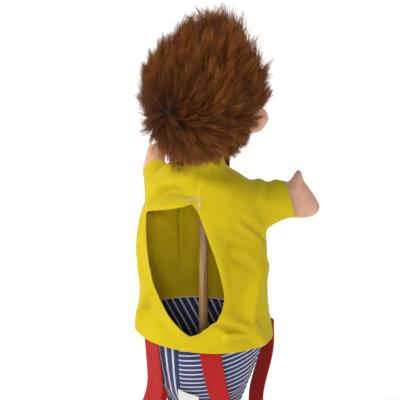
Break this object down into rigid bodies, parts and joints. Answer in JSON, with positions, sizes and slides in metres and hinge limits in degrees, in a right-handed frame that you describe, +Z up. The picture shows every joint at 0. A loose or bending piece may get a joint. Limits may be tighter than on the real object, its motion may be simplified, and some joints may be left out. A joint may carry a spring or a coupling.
{
  "type": "hand puppet",
  "caption": "Cloth hand puppet of a boy with a fur wig on a wooden head rod, an open-backed shirt, mittens, striped trousers and hanging suspender loops.",
  "frame": {"origin": "lower end of the head rod, on the rod's axis", "axes": "+Z up along the rod, -Y the way the face looks, -X toward the puppet's right hand"},
  "size_m": [0.1661, 0.1203, 0.443],
  "materials": {
    "skin_fabric": "brushed knit, skin colour",
    "stuffing": "polyester fibre fill",
    "neck_plug": "rolled board",
    "dark_felt": "wool felt",
    "red_felt": "wool felt",
    "fur": "long-pile faux fur",
    "rod_wood": "turned beech dowel, waxed",
    "shirt_cotton": "plain-weave cotton",
    "thread": "sewing thread",
    "bow_satin": "dark satin ribbon",
    "striped_cotton": "cotton twill, navy with thin white stripes",
    "tape": "herringbone tape",
    "label": "woven ribbon, blank",
    "shoe_felt": "soft brown suede",
    "sole": "undyed leather",
    "webbing": "woven webbing"
  },
  "bodies": {
    "torso": {"shirt_front": "shirt_cotton", "shirt_back_right": "shirt_cotton", "shirt_back_left": "shirt_cotton", "bar_tack": "thread", "bow_wings": "bow_satin", "bow_knot": "bow_satin", "seat_right": "striped_cotton", "seat_left": "striped_cotton", "waist_tape": "tape", "care_label": "label"},
    "neck": {"shirt_neckband": "shirt_cotton"},
    "head": {"head_skin": "skin_fabric", "head_stuffing": "stuffing", "neck_plug": "neck_plug", "ear_right": "skin_fabric", "ear_left": "skin_fabric", "nose": "skin_fabric", "eye_right": "dark_felt", "eye_left": "dark_felt", "brow_right": "dark_felt", "brow_left": "dark_felt", "mouth": "red_felt", "fur_wig": "fur", "head_rod": "rod_wood"},
    "arm_right": {"sleeve_right": "shirt_cotton"},
    "hand_right": {"mitten_right": "skin_fabric"},
    "arm_left": {"sleeve_left": "shirt_cotton"},
    "hand_left": {"mitten_left": "skin_fabric"},
    "leg_right": {"leg_right": "striped_cotton", "leg_stuffing_right": "stuffing", "shoe_right": "shoe_felt", "sole_right": "sole"},
    "leg_left": {"leg_left": "striped_cotton", "leg_stuffing_left": "stuffing", "shoe_left": "shoe_felt", "sole_left": "sole"},
    "strap_right": {"suspender_right": "webbing"},
    "strap_left": {"suspender_left": "webbing"}
  },
  "joints": [
    {"name": "head_nod", "type": "hinge", "parent": "torso", "child": "neck", "pos_m": [0, 0, 0.176], "axis": [1, 0, 0], "range_deg": [-8, 8]},
    {"name": "head_turn", "type": "hinge", "parent": "neck", "child": "head", "pos_m": [0, 0, 0.176], "axis": [0, 0, 1], "range_deg": [-70, 80]},
    {"name": "arm_right_swing", "type": "hinge", "parent": "torso", "child": "arm_right", "pos_m": [-0.04, -0.01, 0.148], "axis": [0, 0, 1], "range_deg": [-20, 50]},
    {"name": "hand_right_bend", "type": "hinge", "parent": "arm_right", "child": "hand_right", "pos_m": [-0.06705, -0.01725, 0.148], "axis": [-0.2588, 0.9659, 0], "range_deg": [-15, 15]},
    {"name": "arm_left_swing", "type": "hinge", "parent": "torso", "child": "arm_left", "pos_m": [0.04, -0.01, 0.148], "axis": [0, 0, 1], "range_deg": [-5, 55]},
    {"name": "hand_left_bend", "type": "hinge", "parent": "arm_left", "child": "hand_left", "pos_m": [0.05276, -0.03399, 0.15477], "axis": [-0.8829, -0.4695, 0], "range_deg": [-15, 15]},
    {"name": "leg_right_swing", "type": "hinge", "parent": "torso", "child": "leg_right", "pos_m": [-0.019, 0, -0.063], "axis": [-1, 0, 0], "range_deg": [-25, 90]},
    {"name": "leg_left_swing", "type": "hinge", "parent": "torso", "child": "leg_left", "pos_m": [0.019, 0, -0.063], "axis": [-1, 0, 0], "range_deg": [-25, 90]},
    {"name": "strap_right_swing", "type": "hinge", "parent": "torso", "child": "strap_right", "pos_m": [-0.01741, 0.0417, 0.02], "axis": [0.4546, 0.8907, 0], "range_deg": [0, 60]},
    {"name": "strap_left_swing", "type": "hinge", "parent": "torso", "child": "strap_left", "pos_m": [0.03906, 0.03291, 0.02], "axis": [-0.0832, -0.9965, 0], "range_deg": [0, 60]}
  ]
}
